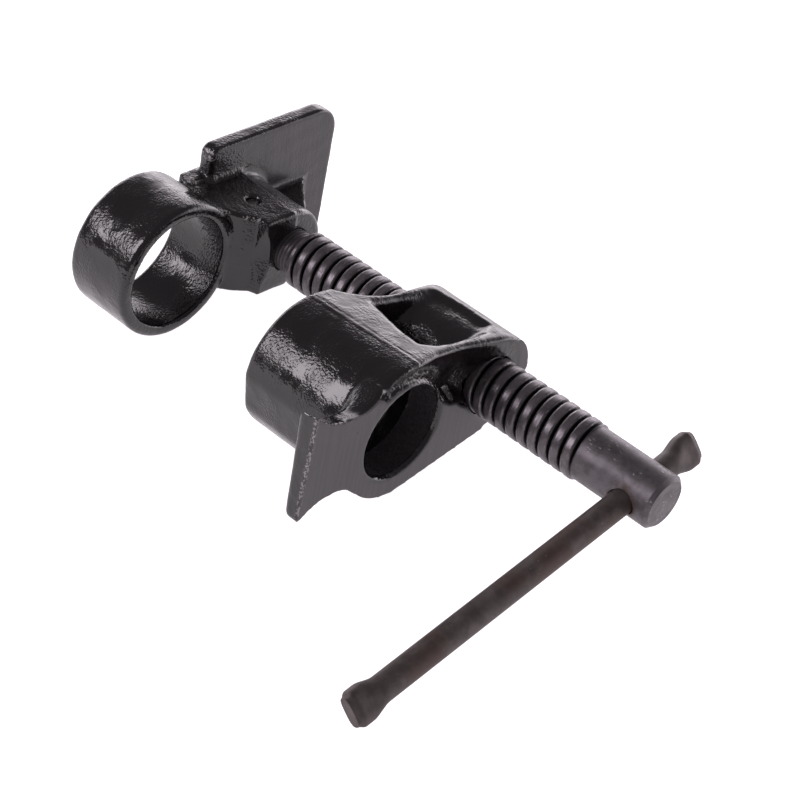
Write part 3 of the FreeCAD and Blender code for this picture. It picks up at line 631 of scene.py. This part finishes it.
def settle(piece):
    """Works the modifiers into the mesh."""
    graph = bpy.context.evaluated_depsgraph_get()
    mesh = bpy.data.meshes.new_from_object(piece.evaluated_get(graph))
    piece.modifiers.clear()
    piece.data = mesh


def bored(piece, cutter):
    """Cuts cutter out of piece and throws it away."""
    modifier = piece.modifiers.new("bore", "BOOLEAN")
    modifier.operation = "DIFFERENCE"
    modifier.solver = "EXACT"
    modifier.object = cutter
    settle(piece)
    bpy.data.objects.remove(cutter)


weld(screw)


def down_the_bar(points):
    """Points given as (down the bar's long end, across it, along X) into their place."""
    down = np.array([0, -math.cos(BAR_DROOP), -math.sin(BAR_DROOP)])
    side = np.array([0, math.sin(BAR_DROOP), -math.cos(BAR_DROOP)])
    along = np.array([1.0, 0, 0])
    base = np.array([BAR_X, AXES_APART, 0])
    return base + points[:, :1] * down + points[:, 1:2] * side + points[:, 2:] * along


def tube(sections):
    """A closed surface through rings: each section is (s, ring), the ring's points given as
    across and along X. Both ends close on their middle."""
    rings = [np.column_stack([np.full(len(ring), s), ring]) for s, ring in sections]
    rings = [rings[0] * [1, 0, 0]] + rings + [rings[-1] * [1, 0, 0]]
    return np.concatenate(rings), joined_rows(len(rings), len(rings[0]))


def ring_of(radius, count):
    """A circle, its points given as across and along X."""
    turn = np.linspace(0, 2 * math.pi, count, endpoint=False)
    return np.column_stack([radius * np.cos(turn), radius * np.sin(turn)])


CROSS_HOLE = [(-9.0, 4.6), (-6.75, 3.62), (-6.2, 3.12), (6.2, 3.12), (6.75, 3.62), (9.0, 4.6)]
cutter_points, cutter_quads = tube([(s, ring_of(radius, 64)) for s, radius in CROSS_HOLE])
cutter = new_piece("cross_hole", down_the_bar(cutter_points), cutter_quads)
weld(cutter)
bored(screw, cutter)
screw.data.shade_smooth()
screw.data.set_sharp_from_angle(angle=math.radians(38))


# The first colour is painted shade for the thread's grooves; the second is the steel's own tone.
GROOVE_PAINTED_SHADE, RUBBED = (0.010, 0.009, 0.010), (0.125, 0.112, 0.122)
# The second colour here is a painted highlight for streaks along the thread's crests.
DARK_PATCH, CREST_PAINTED_HIGHLIGHT = (0.030, 0.028, 0.030), (0.30, 0.28, 0.295)
SCRATCH, BROWN = (0.38, 0.37, 0.37), (0.085, 0.048, 0.026)


def screw_finish():
    """Oiled dark steel. Painted shade darkens the thread's grooves and painted highlights
    streak along its crests; the shank has small bright scratches and a brown tint round its hole."""
    steel = Finish("oiled_screw_steel")
    split = steel.node("SeparateXYZ", {}, Vector=steel.place)
    across = Value(steel, split.socket.node.outputs["Y"]) * 1000 - AXES_APART
    up = Value(steel, split.socket.node.outputs["Z"]) * 1000
    along = Value(steel, split.socket.node.outputs["X"]) * 1000
    radius = (across ** 2.0 + up ** 2.0) ** 0.5
    on_thread = along.between(THREAD_START - 1.0, THREAD_START)
    on_thread = on_thread * (1 - along.between(THREAD_END, THREAD_END + 0.6))
    crest = radius.between(THREAD_R - 0.75, THREAD_R - 0.1)
    streak = steel.noise(0.5, detail=4.0, place=steel.stretched(3.0, 0.35, 0.35))
    mottle = steel.noise(2.6, detail=5.0)
    fine = steel.noise(0.4, detail=3.0)
    scratch = steel.noise(0.8, detail=5.0, place=steel.stretched(0.5, 1.5, 1.5, (0.2, 0.9, 0.4)))
    marks = scratch.between(0.60, 0.66) * steel.noise(5.0, detail=2.0).between(0.52, 0.60)
    # Streaks along the thread's crests, which take a painted highlight colour below.
    bright = on_thread * crest * streak.between(0.55, 0.75)

    # The thread's grooves get a near-black colour as painted shade; the crests and the plain shank
    # keep the steel's tone.
    colour = steel.mix(crest * on_thread + (1 - on_thread), GROOVE_PAINTED_SHADE, RUBBED)
    colour = steel.mix(mottle.between(0.40, 0.70) * 0.5, colour, DARK_PATCH)
    # Painted highlight: the crest streaks are lightened towards a pale steel colour.
    colour = steel.mix(bright * 0.7, colour, CREST_PAINTED_HIGHLIGHT)
    colour = steel.mix(marks * (1 - on_thread) * 0.9, colour, SCRATCH)
    hole = ((along - BAR_X) ** 2.0 + (up + (across * -math.tan(BAR_DROOP))) ** 2.0) ** 0.5
    near_hole = (1 - hole.between(3.1, 5.2)) * (1 - on_thread) * mottle.between(0.35, 0.6)
    colour = steel.mix(near_hole * 0.6, colour, BROWN)
    gloss = 0.36 - on_thread * 0.10 + mottle * 0.12 + near_hole * 0.2
    height = streak * 0.010 + fine * (0.014 - on_thread * 0.004) + mottle * 0.03 - marks * 0.02
    return steel.done(Base_Color=colour, Metallic=0.55, Roughness=gloss, Normal=steel.bump(height))


SCREW_STEEL = screw_finish()
screw.data.materials.clear()
screw.data.materials.append(SCREW_STEEL)
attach(screw, "screw_body")
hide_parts("clamp_screw")


# The front jaw: a second casting, with a ring that slides on the pipe, a socket for the
# screw's neck and a flat pressing plate stiffened by a rib. Black dip paint all over.

RING_R, RING_BORE, RING_LENGTH, RING_ROUND = 17.2, 14.1, 18.4, 1.6
RING_BACK = RING_FACE - RING_LENGTH
PLATE_X = (RING_FACE - 16.6, RING_FACE - 12.2)
PLATE_Y, PLATE_HALF, PLATE_ROUND = (18.9, 61.4), 20.2, 1.1
NEAR_CORNER, FAR_CORNER = 2.6, 7.0
SOCKET_FRONT, SOCKET_R, SOCKET_ROUND, NECK_ROOM = RING_FACE + 7.0, 9.9, 1.6, 0.15
BLOCK_TOP, BLOCK_TOP_LEAN, BLOCK_ROUND = 11.7, 0.10, 0.9
RIB_HALF, RIB_LONG, RIB_SHORT, RIB_SHORT_AT = 2.1, 52.0, 38.1, RING_FACE + 3.5
LEDGE_Y, LEDGE_HALF, LEDGE_ROUND = (14.2, 22.0), 12.6, 0.8
BLOCK_OUTLINE = [(RING_FACE + along, across) for along, across in (
    (-15.6, 13.6), (-13.2, 12.8), (-3.4, 13.0), (-1.2, 14.6), (1.6, 16.6), (4.2, 19.4), (7.0, 20.0),
    (7.0, 29.2), (-15.6, 29.2))]
PIN_Y = AXES_APART - GROOVE_R - PIN_R - 0.06


def jaw_shape(x, y, z):
    """Distance to the jaw, in mm: ring, plate, neck block, socket and rib with fillets
    between them, less the pipe bore, the socket's bore and the pin's hole."""
    around_pipe = np.hypot(y, z)
    around_screw = np.hypot(y - AXES_APART, z)
    tall = np.abs(z)
    ring = blend_off(around_pipe - RING_R, slab(x, RING_BACK, RING_FACE), RING_ROUND)

    plate = block(y, z, (PLATE_Y[0], -PLATE_HALF), (PLATE_Y[1], PLATE_HALF), NEAR_CORNER)
    far = block(y, z, (PLATE_Y[0] - 9, -PLATE_HALF), (PLATE_Y[1], PLATE_HALF), FAR_CORNER)
    plate = blend_off(np.maximum(plate, far), slab(x, *PLATE_X), PLATE_ROUND)

    block_top = BLOCK_TOP - BLOCK_TOP_LEAN * np.maximum(x - RING_FACE + SOCKET_DEPTH, 0)
    neck = blend_off(outline_distance(x, y, BLOCK_OUTLINE), tall - block_top, BLOCK_ROUND)
    jaw = blend_in(ring, neck, 1.0)
    along_socket = slab(x, PLATE_X[0] + 1, SOCKET_FRONT)
    jaw = blend_in(jaw, blend_off(around_screw - SOCKET_R, along_socket, SOCKET_ROUND), 1.0)

    steepness = (RIB_LONG - RIB_SHORT) / (RIB_SHORT_AT - PLATE_X[1])
    reach = RIB_LONG - (x - PLATE_X[1]) * steepness
    along_rib = slab(x, PLATE_X[0] + 1, SOCKET_FRONT - 2)
    rib = np.maximum(np.maximum(tall - RIB_HALF, y - reach), np.maximum(AXES_APART - y, along_rib))
    jaw = blend_in(jaw, rib, 1.6)
    jaw = blend_in(jaw, plate, 2.0)

    ledge = blend_off(slab(y, *LEDGE_Y), slab(x, RING_BACK + 0.4, PLATE_X[1] - 1), LEDGE_ROUND)
    ledge = blend_off(ledge, tall - LEDGE_HALF, LEDGE_ROUND)
    jaw = blend_in(jaw, ledge, 0.6)

    bore = around_pipe - RING_BORE
    jaw = np.maximum(jaw, -np.minimum(bore, bore - 0.7 + (x - RING_BACK)))
    jaw = np.maximum(jaw, -np.maximum(bore - 0.5 - (x - RING_FACE), RING_FACE - 1.2 - x))
    socket_bore = np.maximum(around_screw - NECK_R - NECK_ROOM, RING_FACE - SOCKET_DEPTH - x)
    jaw = np.maximum(jaw, -socket_bore)
    flare = 0.45 * step_up(tall, 10.0, 11.2)
    return np.maximum(jaw, PIN_R + flare - np.hypot(x - PIN_X, y - PIN_Y))


def jaw_still(points):
    """1 in the bores, which keep their size."""
    x, y, z = points.T
    from_socket = np.abs(np.hypot(y - AXES_APART, z) - NECK_R - NECK_ROOM)
    bores = np.minimum(np.abs(np.hypot(y, z) - RING_BORE), from_socket)
    bores = np.minimum(bores, np.abs(np.hypot(x - PIN_X, y - PIN_Y) - PIN_R))
    return 1 - step_up(bores, 0.1, 0.4)


def jaw_rough(points):
    """How sandy the paint is: a little on the neck block's top and bottom, and more at the
    plate's near corners."""
    x, y, z = points.T
    top = step_up(np.abs(z), 9.0, 11.0) * (1 - step_up(np.abs(z), 13.0, 14.5)) * step_up(y, 13, 16)
    top *= (1 - step_up(y, 36, 40)) * (1 - step_up(x, RING_FACE + 1.0, RING_FACE + 4))
    end = (1 - step_up(np.hypot(y - 17.5, np.abs(z) - 14) / 6, 0.6, 1)) * (x < PLATE_X[1] + 1)
    return np.maximum(0.22 * top, 0.3 * end)


def from_line(points, first_end, last_end):
    """Distance of each point from the line between two ends."""
    first_end, last_end = np.array(first_end), np.array(last_end)
    way = last_end - first_end
    share = np.clip((points - first_end) @ way / (way @ way), 0, 1)
    return np.linalg.norm(points - first_end - share[:, None] * way, axis=1)


JAW_CHIPS = [
    ((RING_FACE + 2.2, 17.2, 10.4), (RING_FACE + 4.2, 19.4, 10.2), 0.8),
    ((RING_FACE - 2.8, 13.4, 10.9), (RING_FACE - 1.4, 14.5, 10.8), 0.8),
    ((PLATE_X[0], 18.9, 18.2), (PLATE_X[1], 18.9, 18.2), 1.3),
    ((PLATE_X[0] + 0.6, 15.0, 12.4), (PLATE_X[1], 15.0, 12.4), 1.1),
    ((RING_FACE + 2.2, 26.0, 11.0), (RING_FACE + 2.4, 26.3, 11.0), 0.6),
]
JAW_GRID, JAW_GRAIN = 0.48, 29
jaw_low = (RING_BACK, -RING_R - 0.5, -PLATE_HALF)
jaw_high = (SOCKET_FRONT, PLATE_Y[1], PLATE_HALF)
points, quads = cast_skin(jaw_shape, jaw_low, jaw_high, JAW_GRID, jaw_still, jaw_rough, JAW_GRAIN)
jaw = new_piece("front_jaw_casting", points, quads)
from_face = points[:, 0] - PLATE_X[1]
face = step_up(from_face, -0.5, -0.1) * (1 - step_up(from_face, 0.2, 0.6))
set_share(jaw, "ground", 0.6 * face * step_up(points[:, 1], 30, 38))
set_share(jaw, "rough", jaw_rough(points))
chips = np.zeros(len(points))
for first_end, last_end, width in JAW_CHIPS:
    away = from_line(points, first_end, last_end)
    chips = np.maximum(chips, 1 - step_up(away, 0.6 * width, width))
set_share(jaw, "chip", chips)
jaw.data.materials.append(CASTING)
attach(jaw, "jaw_body")
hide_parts("front_jaw")


# The jaw pin: a short steel rod, its ends a little rounded. It is driven down beside the
# neck until both ends lie below the surface, and is dipped in black with the jaw.

PIN_HALF, PIN_CHAMFER, PIN_COLUMNS = 10.4, 0.3, 40
turn = np.linspace(0, 2 * math.pi, PIN_COLUMNS, endpoint=False)
slim = PIN_R - PIN_CHAMFER
profile = [(-PIN_HALF, 0.0), (-PIN_HALF, slim), (-PIN_HALF + PIN_CHAMFER, PIN_R),
           (PIN_HALF - PIN_CHAMFER, PIN_R), (PIN_HALF, slim), (PIN_HALF, 0.0)]
rings = [np.column_stack([PIN_X + r * np.cos(turn), PIN_Y + r * np.sin(turn), 0 * turn + h])
         for h, r in profile]
pin = new_piece("jaw_pin_driven", np.concatenate(rings), joined_rows(len(rings), PIN_COLUMNS))
weld(pin)
pin.data.materials.append(CASTING)
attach(pin, "jaw_body")
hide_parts("jaw_pin")


# The cross bar: round bar with both ends hammered flat. Dark with a brown oxide tint.

BAR_LONG, BAR_SHORT = 88.0, 18.6
SWAGE, TAPER, SWAGE_HALF, SWAGE_THIN = 7.6, 3.0, 4.1, 2.15
TIP, TIP_WIDE, TIP_THIN = 1.6, 0.8, 0.7
SWAGE_TURN = math.radians(38)


def bar_section(s):
    """The bar's ring at s: a circle in the middle. At the ends it is wider one way, thinner
    the other and squarer, its cosine and sine raised to a power below one."""
    from_end = min(BAR_LONG - s, s + BAR_SHORT)
    flat = 1 - step_up(from_end, SWAGE - TAPER - 1.0, SWAGE + 1.0)
    tip = 1 - step_up(from_end, 0.0, TIP)
    wide = BAR_R + (SWAGE_HALF - BAR_R) * flat - TIP_WIDE * tip
    thin = BAR_R + (SWAGE_THIN - BAR_R) * flat - TIP_THIN * tip
    turn = np.linspace(0, 2 * math.pi, 48, endpoint=False)
    square = 1 - 0.35 * flat
    u = wide * np.sign(np.cos(turn)) * np.abs(np.cos(turn)) ** square
    v = thin * np.sign(np.sin(turn)) * np.abs(np.sin(turn)) ** square
    c, n = math.cos(SWAGE_TURN), math.sin(SWAGE_TURN)
    return np.column_stack([u * c - v * n, u * n + v * c])


stops = np.concatenate([np.linspace(-BAR_SHORT, -BAR_SHORT + 9, 28),
                        np.linspace(-BAR_SHORT + 10, BAR_LONG - 10, 90),
                        np.linspace(BAR_LONG - 9, BAR_LONG, 28)])
points, quads = tube([(s, bar_section(s)) for s in stops])
bar = new_piece("cross_bar", down_the_bar(points), quads)
weld(bar)


BAR_DARK, BAR_PALE = (0.072, 0.058, 0.055), (0.115, 0.096, 0.092)
BAR_BROWN, BAR_NICK = (0.078, 0.048, 0.039), (0.32, 0.30, 0.29)


def bar_finish():
    """Dark oxidised steel, browner in patches, with fine drawn lines and small nicks."""
    steel = Finish("oxidised_bar_steel")
    mottle = steel.noise(3.2, detail=5.0)
    patch = steel.noise(11.0, detail=4.0)
    fine = steel.noise(0.35, detail=3.0)
    drawn = steel.noise(0.5, detail=3.0, place=steel.stretched(1.0, 0.12, 1.0))
    nick = steel.cells(2.4).between(0.0, 0.07)
    colour = steel.mix(mottle.between(0.35, 0.68), BAR_DARK, BAR_PALE)
    colour = steel.mix(patch.between(0.48, 0.64) * 0.7, colour, BAR_BROWN)
    colour = steel.mix((1 - nick) * patch.between(0.45, 0.55), colour, BAR_NICK)
    gloss = 0.46 + mottle * 0.16
    height = fine * 0.012 + drawn * 0.02 + mottle * 0.03
    return steel.done(Base_Color=colour, Metallic=0.5, Roughness=gloss, Normal=steel.bump(height))


bar.data.materials.append(bar_finish())
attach(bar, "bar_body")
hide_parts("t_bar")


# Floor, lamps and camera. The floor is plain and pale, and shows white to the camera.

FLOOR_Z, FLOOR_HALF = -20.25, 3000
floor_corners = [(x * FLOOR_HALF * 0.001, y * FLOOR_HALF * 0.001, FLOOR_Z * 0.001)
                 for x, y in ((-1, -1), (1, -1), (1, 1), (-1, 1))]
floor_mesh = bpy.data.meshes.new("floor")
floor_mesh.from_pydata(floor_corners, [], [(0, 1, 2, 3)])
floor = bpy.data.objects.new("floor", floor_mesh)
bpy.context.scene.collection.objects.link(floor)
pale = Finish("pale_floor")
mirrored = pale.node("LightPath", {}, output="Is Glossy Ray")
seen = pale.node("LightPath", {}, output="Is Camera Ray") + mirrored * 0.4
surface = pale.node("BsdfDiffuse", {}, Color=(0.92, 0.92, 0.925, 1), output="BSDF")
glow = pale.node("Emission", {}, Color=(1, 0.95, 0.99, 1), Strength=seen * 0.50 + 0.45,
                 output="Emission")
both = pale.node("AddShader", {}, surface, glow, output="Shader")
pale.tree.links.new(both.socket, pale.out.inputs["Surface"])
floor.data.materials.append(pale.material)

BACKDROP, DIM = 3.4, 0.20


def studio_world():
    """A dim studio with a bright white backdrop behind the object, low over the floor: DIM,
    and BACKDROP where a smooth step of the height and one of the direction are both 1."""
    world = bpy.data.worlds.new("studio")
    bpy.context.scene.world = world
    world.use_nodes = True
    tree = world.node_tree
    way = tree.nodes.new("ShaderNodeTexCoord").outputs["Generated"]

    def along(direction, low, high):
        dot = tree.nodes.new("ShaderNodeVectorMath")
        dot.operation = "DOT_PRODUCT"
        tree.links.new(way, dot.inputs[0])
        dot.inputs[1].default_value = direction
        ramp = tree.nodes.new("ShaderNodeMapRange")
        ramp.interpolation_type = "SMOOTHSTEP"
        tree.links.new(dot.outputs["Value"], ramp.inputs["Value"])
        ramp.inputs["From Min"].default_value = low
        ramp.inputs["From Max"].default_value = high
        return ramp.outputs["Result"]

    glow = tree.nodes.new("ShaderNodeMath")
    glow.operation = "MULTIPLY"
    tree.links.new(along((0, 0, -1), -0.64, -0.18), glow.inputs[0])
    tree.links.new(along((-0.42, 0.90, 0), -0.1, 0.6), glow.inputs[1])
    sums = tree.nodes.new("ShaderNodeMath")
    sums.operation = "MULTIPLY_ADD"
    tree.links.new(glow.outputs[0], sums.inputs[0])
    tree.nodes["Background"].inputs["Color"].default_value = (1.0, 0.935, 0.99, 1)
    sums.inputs[1].default_value = BACKDROP - DIM
    sums.inputs[2].default_value = DIM
    seen = tree.nodes.new("ShaderNodeLightPath").outputs["Is Camera Ray"]
    most = tree.nodes.new("ShaderNodeMath")
    most.operation = "MAXIMUM"
    tree.links.new(sums.outputs[0], most.inputs[0])
    tree.links.new(seen, most.inputs[1])
    tree.links.new(most.outputs[0], tree.nodes["Background"].inputs["Strength"])


studio_world()


def soft_lamp(name, place, target, size, watts):
    """A square soft lamp at place, facing target, both in mm."""
    data = bpy.data.lights.new(name, "AREA")
    data.shape = "RECTANGLE"
    data.size, data.size_y = size
    data.energy = watts
    data.color = (1.0, 0.93, 0.99)
    lamp = bpy.data.objects.new(name, data)
    bpy.context.scene.collection.objects.link(lamp)
    place, target = Vector(place) * 0.001, Vector(target) * 0.001
    lamp.location = place
    lamp.rotation_euler = (target - place).to_track_quat("-Z", "Y").to_euler()
    return lamp


soft_lamp("left_side", (-420, -650, 450), (0, 0, 0), (0.34, 0.42), 3.2)

camera_data = bpy.data.cameras.new("camera")
camera_data.lens = 99.0
camera_data.sensor_width = 36.0
camera_data.clip_start = 0.01
camera = bpy.data.objects.new("camera", camera_data)
bpy.context.scene.collection.objects.link(camera)
camera_place = Vector((0.2352, -0.3065, 0.2832))
right = Vector((0.7202, 0.6728, 0.1692))
down = Vector((0.5075, -0.3447, -0.7897))
ahead = Vector((-0.4730, 0.6546, -0.5897))
turned = Matrix((right, -down, -ahead)).transposed()
camera.matrix_world = Matrix.Translation(camera_place) @ turned.to_4x4()
bpy.context.scene.camera = camera

bpy.context.scene.view_settings.view_transform = "Standard"
